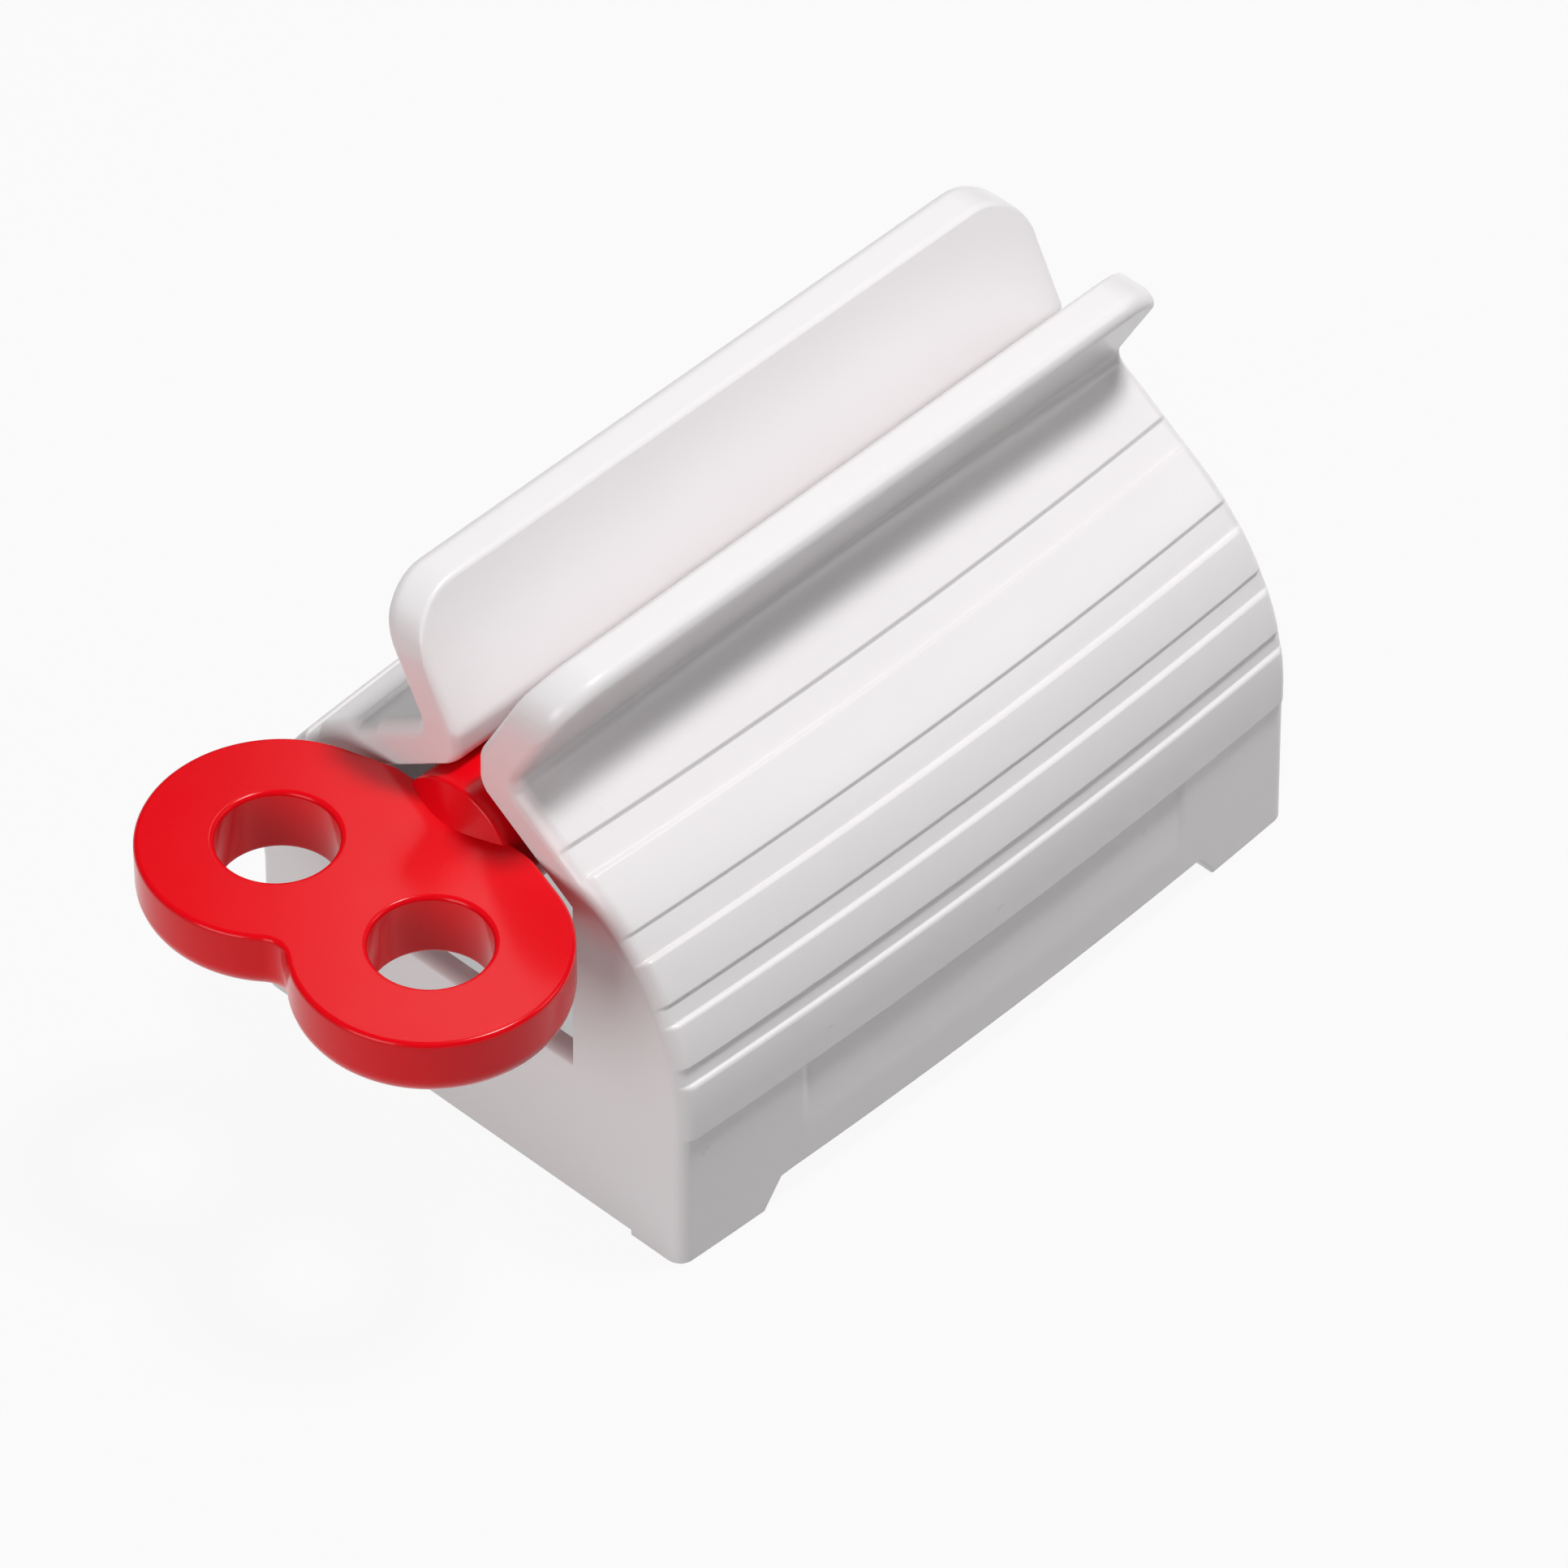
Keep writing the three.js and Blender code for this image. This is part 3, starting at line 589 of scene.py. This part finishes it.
def window_half(s, p, flare):
    """Half of the end window's section, widened by the flare on all sides, with as many points
    as the hollow's."""
    wide = s.window_half_width + flare
    sill = s.window_sill - flare
    eave = (wide, ceiling_at(p, wide) + flare / math.cos(s.roof_pitch))
    brow = (p.ceiling_edge + flare * math.sin(s.roof_pitch),
            ceiling_at(p, p.ceiling_edge) + flare * math.cos(s.roof_pitch))
    jamb = POINTS.wall + POINTS.haunch - 1 + POINTS.eave
    return np.vstack([straight((0, sill), (wide, sill), POINTS.floor), straight((wide, sill), eave, jamb),
                      straight(eave, brow, POINTS.ceiling), straight(brow, (0, brow[1]), POINTS.brow)])


def whole(half):
    """Closed section from its half: the other half is its mirror image, walked back."""
    return np.concatenate([half, half[:0:-1] * np.array([-1, 1])])


def seat_hollow(s, p):
    """What is cut out of the seat along its length: the window's section through each end
    wall, flaring to its rim, and the hollow's section between the end walls, swelling with
    the bow."""
    reach = p.half_length - s.end_wall
    quarter = np.linspace(0, math.pi / 2, POINTS.window_rim)
    gaps = np.concatenate([[-OVERLAP], s.end_round * (1 - np.cos(quarter))])
    flares = s.window_round * rim_curve(s, gaps)
    mouths = np.stack([whole(window_half(s, p, flare)) for flare in flares])
    mouth_x = end_at(p, mouths[..., 1]) - gaps[:, None]
    through = whole(window_half(s, p, 0))[None]
    right_end = np.concatenate([mouths, through])
    right_x = np.concatenate([mouth_x, np.full(through.shape[:2], reach)])
    right = np.concatenate([right_x[..., None], right_end], axis=-1)
    left = right * np.array([-1, 1, 1])
    section = whole(hollow_half(s, p))
    along = np.linspace(-reach, reach, POINTS.hollow)[:, None]
    inner = s.half_width - s.wall
    swell = np.clip((np.abs(section[:, 0]) - s.window_half_width) / (inner - s.window_half_width), 0, 1)
    across = section[:, 0] + np.sign(section[:, 0]) * swell * bow_at(s, p, along)
    height = np.broadcast_to(section[:, 1], across.shape)
    middle = np.stack([np.broadcast_to(along, across.shape), across, height], axis=-1)
    rings = np.concatenate([left, middle, right[::-1]])
    return ring_body("seat_hollow", rings + np.array([SEAT_MIDDLE_X, 0, 0]))


def foot_gap(s, p):
    """Gap between the feet: a slant-sided arch carried across the seat, flaring to its rim
    where it leaves each bowed wall."""
    low = p.half_length - s.foot_length
    high = low - s.foot_slant
    below = low + s.foot_slant * OVERLAP / s.foot_height
    slope = unit(np.array([s.foot_height, s.foot_slant]))
    side, top = POINTS.foot_side, POINTS.foot_top
    arch = np.vstack([straight((below, -OVERLAP), (high, s.foot_height), side),
                      straight((high, s.foot_height), (-high, s.foot_height), top),
                      straight((-high, s.foot_height), (-below, -OVERLAP), side), [(-below, -OVERLAP)]])
    out = np.vstack([np.tile(slope, (side, 1)), np.tile((0, 1), (top, 1)),
                     np.tile(slope * (-1, 1), (side + 1, 1))])
    quarter = np.linspace(0, math.pi / 2, POINTS.foot_rim)
    gaps = np.concatenate([[-4 * OVERLAP], s.foot_round * (1 - np.cos(quarter))])
    flares = s.foot_round * (1 - np.sqrt(1 - np.clip(1 - gaps / s.foot_round, 0, 1) ** 2))
    spread = arch + flares[:, None, None] * out
    wall = s.half_width - s.groove_depth + bow_at(s, p, spread[..., 0])
    rim = np.stack([spread[..., 0], wall - gaps[:, None], spread[..., 1]], axis=-1)
    rings = np.concatenate([rim * (1, -1, 1), rim[::-1]])
    return ring_body("foot_gap", rings + np.array([SEAT_MIDDLE_X, 0, 0]))


def end_relief(s, p):
    """Clearance under the end walls between the feet: a low slab along the seat."""
    half = s.half_width - s.end_foot_depth
    section = np.array([(half, -OVERLAP), (half, s.end_relief), (-half, s.end_relief), (-half, -OVERLAP)])
    ends = np.array([-1, 1])[:, None, None] * (p.half_length + OVERLAP) + SEAT_MIDDLE_X
    rings = np.concatenate([np.broadcast_to(ends, (2, 4, 1)), np.broadcast_to(section, (2, 4, 2))], axis=-1)
    return ring_body("end_relief", rings)


# Winding key

def key_plan(k, s):
    """Places along the key, from the near end face at the shaft's height."""
    p = SimpleNamespace()
    p.end = SEAT_MIDDLE_X - end_at(seat_plan(s), SHAFT_HEIGHT)
    p.grip = p.end - k.grip_gap - k.lobe_radius
    p.nose = p.end - k.nose_overhang
    p.half_grip = k.grip_thickness / 2
    p.lobe = k.hole_spacing / 2
    return p


def grip_outline(k, p, inset):
    """The grip in plan, drawn in by the inset: two lobes, a fillet between them at the waist,
    and a short neck towards the seat whose flanks are tangent to the lobes."""
    radius = k.lobe_radius - inset
    root = k.lobe_radius + k.grip_gap - k.neck_gap
    inward = p.lobe - k.neck_half_width
    flank = math.acos(k.lobe_radius / math.hypot(root, inward)) - math.atan2(inward, root)
    neck = p.lobe + (radius - root * math.cos(flank)) / math.sin(flank)
    waist = math.sqrt((k.lobe_radius + k.waist_fillet) ** 2 - p.lobe ** 2)
    waist_turn = math.atan2(p.lobe, waist)
    far = circle_points((0, p.lobe), radius, np.linspace(flank, math.pi + waist_turn, POINTS.lobe))
    notch = circle_points((-waist, 0), k.waist_fillet + inset,
                          np.linspace(waist_turn, -waist_turn, POINTS.waist))
    near = circle_points((0, -p.lobe), radius,
                         np.linspace(math.pi - waist_turn, 2 * math.pi - flank, POINTS.lobe))
    end = straight((root, -neck), (root, neck), POINTS.neck_end)
    return np.vstack([end, straight((root, neck), far[0], POINTS.flank), far, notch[1:-1], near,
                      straight(near[-1], (root, -neck), POINTS.flank)[1:]])


def grip_plate(k, p):
    """The grip: its plan carried upwards, drawn in by a quarter circle at the underside and a
    smaller one at the upper edge."""
    turn = np.linspace(0, math.pi / 2, POINTS.grip_edge)
    insets = np.concatenate([k.grip_underside * (1 - np.sin(turn)), k.grip_edge * (1 - np.cos(turn))])
    low, high = SHAFT_HEIGHT - p.half_grip, SHAFT_HEIGHT + p.half_grip
    heights = np.concatenate([low + k.grip_underside * (1 - np.cos(turn)),
                              high - k.grip_edge * (1 - np.sin(turn))])
    plans = np.stack([grip_outline(k, p, inset) for inset in insets])
    upright = np.broadcast_to(heights[:, None, None], plans.shape[:2] + (1,))
    rings = np.concatenate([plans, upright], axis=-1) + np.array([p.grip, 0, 0])
    return ring_body("winding_key", rings)


def finger_hole(k, p, side):
    """A finger hole: a circle carried through the grip, widening to both rims on quarter
    circles."""
    turn = np.linspace(0, math.pi / 2, POINTS.hole_rim)
    rim = k.hole_rim
    lower = np.column_stack([k.hole_radius + rim * (1 - np.sin(turn)),
                             rim * (1 - np.cos(turn)) - p.half_grip])
    upper = np.column_stack([lower[::-1, 0], -lower[::-1, 1]])
    ends = np.array([[k.hole_radius + rim, -p.half_grip - OVERLAP]])
    profile = np.vstack([ends, lower, upper, ends * (1, -1)])
    around = np.linspace(0, 2 * math.pi, POINTS.hole, endpoint=False)
    rings = np.stack([p.grip + profile[:, :1] * np.cos(around),
                      side * p.lobe + profile[:, :1] * np.sin(around),
                      SHAFT_HEIGHT + profile[:, 1:] + 0 * around], axis=-1)
    return ring_body("finger_hole", rings)


def shaft(k, p):
    """The shaft turned about its axis: a conical nose that sinks into the grip, a rounded edge,
    the long round shaft and a rounded tip."""
    tip = KEY_HIGH.x
    corners = [(p.nose - k.nose_length, k.nose_radius), (p.nose, k.shaft_radius), (tip, k.shaft_radius),
               (tip, k.shaft_radius - 2 * k.shaft_tip_round)]
    profile = refined(rounded(corners, [k.nose_edge, k.shaft_tip_round], POINTS.shaft_edge), SHAFT_STEP)
    around = np.linspace(0, 2 * math.pi, POINTS.shaft, endpoint=False)
    rings = np.stack([profile[:, :1] + 0 * around, profile[:, 1:] * np.cos(around),
                      SHAFT_HEIGHT + profile[:, 1:] * np.sin(around)], axis=-1)
    return ring_body("shaft", rings)


def tail_slot(k, p):
    """Slot for the tube's tail: a flat tongue along the shaft with a round blind end, open at
    the tip."""
    half = k.tail_slot_width / 2
    start = p.end + k.tail_slot_inset + half
    turn = np.linspace(math.pi / 2, 1.5 * math.pi, POINTS.slot_end)
    plan = np.vstack([circle_points((start, 0), half, turn), [(KEY_HIGH.x + OVERLAP, -half)],
                      [(KEY_HIGH.x + OVERLAP, half)]])
    reach = k.shaft_radius + OVERLAP
    heights = SHAFT_HEIGHT + np.array([-reach, reach])
    rings = np.concatenate([np.stack([plan, plan]),
                            np.broadcast_to(heights[:, None, None], (2, len(plan), 1))], axis=-1)
    return ring_body("tail_slot", rings)


# Finishes

def joined(tree, made, socket, target):
    tree.links.new(made.outputs[socket], target)


def plastic_group():
    """Moulded plastic: slow unevenness of tone and polish, and a fine grain for the bump."""
    group = bpy.data.node_groups.new("Moulded plastic", "ShaderNodeTree")
    sockets = group.interface
    sockets.new_socket("Vector", in_out="INPUT", socket_type="NodeSocketVector")
    sockets.new_socket("Color", in_out="INPUT", socket_type="NodeSocketColor")
    sockets.new_socket("Shade Color", in_out="INPUT", socket_type="NodeSocketColor")
    sockets.new_socket("Roughness", in_out="INPUT", socket_type="NodeSocketFloat")
    sockets.new_socket("Roughness Spread", in_out="INPUT", socket_type="NodeSocketFloat")
    sockets.new_socket("Color", in_out="OUTPUT", socket_type="NodeSocketColor")
    sockets.new_socket("Roughness", in_out="OUTPUT", socket_type="NodeSocketFloat")
    sockets.new_socket("Grain", in_out="OUTPUT", socket_type="NodeSocketFloat")
    entry = group.nodes.new("NodeGroupInput")
    leave = group.nodes.new("NodeGroupOutput")

    def noise(scale, detail):
        made = group.nodes.new("ShaderNodeTexNoise")
        made.inputs["Scale"].default_value = scale
        made.inputs["Detail"].default_value = detail
        joined(group, entry, "Vector", made.inputs["Vector"])
        return made

    flow = noise(*FLOW)
    polish = noise(*POLISH)
    grain = noise(*GRAIN)
    tone = group.nodes.new("ShaderNodeMix")
    tone.data_type = "RGBA"
    joined(group, flow, "Fac", tone.inputs["Factor"])
    joined(group, entry, "Color", tone.inputs["A"])
    joined(group, entry, "Shade Color", tone.inputs["B"])
    swing = group.nodes.new("ShaderNodeMath")
    swing.operation = "SUBTRACT"
    swing.inputs[1].default_value = 0.5
    joined(group, polish, "Fac", swing.inputs[0])
    sheen = group.nodes.new("ShaderNodeMath")
    sheen.operation = "MULTIPLY_ADD"
    joined(group, swing, "Value", sheen.inputs[0])
    joined(group, entry, "Roughness Spread", sheen.inputs[1])
    joined(group, entry, "Roughness", sheen.inputs[2])
    joined(group, tone, "Result", leave.inputs["Color"])
    joined(group, sheen, "Value", leave.inputs["Roughness"])
    joined(group, grain, "Fac", leave.inputs["Grain"])
    return group


def plastic(name, tone, gloss, roughness, unevenness):
    """A plastic finish from the shared group: a tone with its slightly deeper shade, the
    strength of its mirror image, a roughness, and the unevenness, which is both the spread of
    the roughness and the strength of the grain."""
    material = bpy.data.materials.new(name)
    material.use_nodes = True
    tree = material.node_tree
    shader = tree.nodes["Principled BSDF"]
    shader.inputs["Specular IOR Level"].default_value = gloss
    place = tree.nodes.new("ShaderNodeTexCoord")
    group = tree.nodes.new("ShaderNodeGroup")
    group.node_tree = bpy.data.node_groups.get("Moulded plastic") or plastic_group()
    group.inputs["Color"].default_value = (*tone, 1)
    group.inputs["Shade Color"].default_value = (*(SHADE_SHARE * value for value in tone), 1)
    group.inputs["Roughness"].default_value = roughness
    group.inputs["Roughness Spread"].default_value = unevenness
    joined(tree, place, "Object", group.inputs["Vector"])
    joined(tree, group, "Color", shader.inputs["Base Color"])
    joined(tree, group, "Roughness", shader.inputs["Roughness"])
    bump = tree.nodes.new("ShaderNodeBump")
    bump.inputs["Strength"].default_value = unevenness
    bump.inputs["Distance"].default_value = GRAIN_DEPTH
    joined(tree, group, "Grain", bump.inputs["Height"])
    joined(tree, bump, "Normal", shader.inputs["Normal"])
    return material


def floor_finish(stage, share_of_white):
    """Pale floor: grey in the light, so that it keeps the shadow, with a share of plain white
    where the view, a gloss or a clear body looks at it."""
    material = bpy.data.materials.new("Floor")
    material.use_nodes = True
    tree = material.node_tree
    tree.nodes.clear()
    leave = tree.nodes.new("ShaderNodeOutputMaterial")
    matt = tree.nodes.new("ShaderNodeBsdfDiffuse")
    matt.inputs["Color"].default_value = (*stage.floor_grey, 1)
    white = tree.nodes.new("ShaderNodeEmission")
    rays = tree.nodes.new("ShaderNodeLightPath")
    seen = tree.nodes.new("ShaderNodeMath")
    seen.operation = "MAXIMUM"
    joined(tree, rays, "Is Camera Ray", seen.inputs[0])
    joined(tree, rays, "Is Glossy Ray", seen.inputs[1])
    clear = tree.nodes.new("ShaderNodeMath")
    clear.operation = "MAXIMUM"
    joined(tree, seen, "Value", clear.inputs[0])
    joined(tree, rays, "Is Transmission Ray", clear.inputs[1])
    amount = tree.nodes.new("ShaderNodeMath")
    amount.operation = "MULTIPLY"
    amount.inputs[1].default_value = share_of_white
    joined(tree, clear, "Value", amount.inputs[0])
    mix = tree.nodes.new("ShaderNodeMixShader")
    joined(tree, amount, "Value", mix.inputs["Fac"])
    joined(tree, matt, "BSDF", mix.inputs[1])
    joined(tree, white, "Emission", mix.inputs[2])
    joined(tree, mix, "Shader", leave.inputs["Surface"])
    return material


# Stage

def level_sheet(scene, name, low, high, height, material):
    """A level rectangle between two corners, linked into the scene."""
    mesh = bpy.data.meshes.new(name)
    mesh.from_pydata([(low[0], low[1], height), (high[0], low[1], height), (high[0], high[1], height),
                      (low[0], high[1], height)], [], [(0, 1, 2, 3)])
    mesh.materials.append(material)
    sheet = bpy.data.objects.new(name, mesh)
    scene.collection.objects.link(sheet)


def soft_light(scene, name, place, width, watts):
    """A square soft light at a place, turned towards the lit point."""
    lamp = bpy.data.lights.new(name, "AREA")
    lamp.shape = "SQUARE"
    lamp.size = width
    lamp.energy = watts
    light = bpy.data.objects.new(name, lamp)
    light.location = place
    light.rotation_euler = (LIT_POINT - light.location).to_track_quat("-Z", "Y").to_euler()
    scene.collection.objects.link(light)


def place_camera(scene, stage):
    """Camera on the line of sight that the photograph was measured to have."""
    level = math.cos(stage.elevation)
    back = Vector((-level * math.sin(stage.bearing), -level * math.cos(stage.bearing),
                   math.sin(stage.elevation)))
    right = Vector((math.cos(stage.bearing), -math.sin(stage.bearing), 0))
    up = back.cross(right)
    aim = Vector(stage.aim) + Vector((SEAT_MIDDLE_X, 0, 0))
    lens = bpy.data.cameras.new("Camera")
    lens.sensor_width = SENSOR_WIDTH
    lens.lens = SENSOR_WIDTH * stage.focal_pixels / PHOTO_PIXELS
    lens.clip_end = FAR_CLIP
    camera = bpy.data.objects.new("Camera", lens)
    place = aim + stage.distance * back
    line = (aim + stage.aim_right * right + stage.aim_up * up) - place
    forward = line.normalized()
    side = forward.cross(Vector((0, 0, 1))).normalized()
    turn = Matrix((side, side.cross(forward), -forward)).transposed()
    camera.matrix_world = Matrix.Translation(place) @ turn.to_4x4()
    scene.collection.objects.link(camera)
    scene.camera = camera


# Operators

class SQUEEZER_OT_seat(Operator):
    """Build the white ribbed seat in place of its CAD solid"""
    bl_idname = "squeezer.seat"
    bl_label = "Seat"

    def execute(self, context):
        s, finish = context.scene.squeezer_seat, context.scene.squeezer_finish
        p = seat_plan(s)
        body = combined(seat_block(s, p), [
            ("DIFFERENCE", seat_hollow(s, p)),
            ("DIFFERENCE", foot_gap(s, p)),
            ("DIFFERENCE", end_relief(s, p)),
        ])
        body.name = "ribbed_seat"
        white = plastic("White plastic", finish.white, finish.white_gloss, finish.white_roughness,
                        finish.white_unevenness)
        finished(body, white, "stand", "seat")
        return {"FINISHED"}


class SQUEEZER_OT_winding_key(Operator):
    """Build the red winding key in place of its CAD solid"""
    bl_idname = "squeezer.winding_key"
    bl_label = "Winding key"

    def execute(self, context):
        k, finish = context.scene.squeezer_key, context.scene.squeezer_finish
        p = key_plan(k, context.scene.squeezer_seat)
        body = combined(grip_plate(k, p), [
            ("UNION", shaft(k, p)),
            ("DIFFERENCE", finger_hole(k, p, -1)),
            ("DIFFERENCE", finger_hole(k, p, 1)),
            ("DIFFERENCE", tail_slot(k, p)),
        ])
        body.name = "winding_key_red"
        red = plastic("Red plastic", finish.red, finish.red_gloss, finish.red_roughness,
                      finish.red_unevenness)
        finished(body, red, "key", "winding_key")
        return {"FINISHED"}


class SQUEEZER_OT_stage(Operator):
    """Set up the floor, the lights and the camera"""
    bl_idname = "squeezer.stage"
    bl_label = "Stage"

    def execute(self, context):
        scene, stage = context.scene, context.scene.squeezer_stage
        place_camera(scene, stage)
        half, rim = stage.floor_half, stage.shade_inset
        level_sheet(scene, "floor", (-half, -half), (half, half), 0,
                    floor_finish(stage, stage.floor_white))
        level_sheet(scene, "floor_shade", (SEAT_LOW.x + rim, SEAT_LOW.y + rim),
                    (SEAT_HIGH.x - rim, SEAT_HIGH.y - rim), stage.shade_rise,
                    floor_finish(stage, stage.shade_white))
        world = bpy.data.worlds.new("Studio")
        world.use_nodes = True
        sky = world.node_tree.nodes["Background"]
        sky.inputs["Color"].default_value = (1, 1, 1, 1)
        sky.inputs["Strength"].default_value = stage.ambient
        scene.world = world
        for name, place, width, setting in LIGHTS:
            soft_light(scene, name, place, width, getattr(stage, setting))
        scene.view_settings.view_transform = "Standard"
        return {"FINISHED"}


class SQUEEZER_PT_panel(Panel):
    """Pieces of the squeezer and their sizes"""
    bl_idname = "SQUEEZER_PT_panel"
    bl_label = "Tube squeezer"
    bl_space_type = "VIEW_3D"
    bl_region_type = "UI"
    bl_category = "Squeezer"

    def draw(self, context):
        for maker in MAKERS:
            self.layout.operator(maker.bl_idname)
        for settings in SETTINGS:
            values = getattr(context.scene, settings)
            for name in values.__annotations__:
                self.layout.prop(values, name)


MAKERS = (SQUEEZER_OT_stage, SQUEEZER_OT_seat, SQUEEZER_OT_winding_key)
SETTINGS = {
    "squeezer_seat": SeatSizes,
    "squeezer_key": KeySizes,
    "squeezer_finish": FinishSettings,
    "squeezer_stage": StageSettings,
}
CLASSES = (*SETTINGS.values(), *MAKERS, SQUEEZER_PT_panel)


def register():
    for made in CLASSES:
        bpy.utils.register_class(made)
    for name, group in SETTINGS.items():
        setattr(bpy.types.Scene, name, PointerProperty(type=group))


def unregister():
    for name in SETTINGS:
        delattr(bpy.types.Scene, name)
    for made in reversed(CLASSES):
        bpy.utils.unregister_class(made)


def main():
    register()
    bpy.ops.squeezer.stage()
    bpy.ops.squeezer.seat()
    bpy.ops.squeezer.winding_key()


if __name__ == "__main__":
    main()
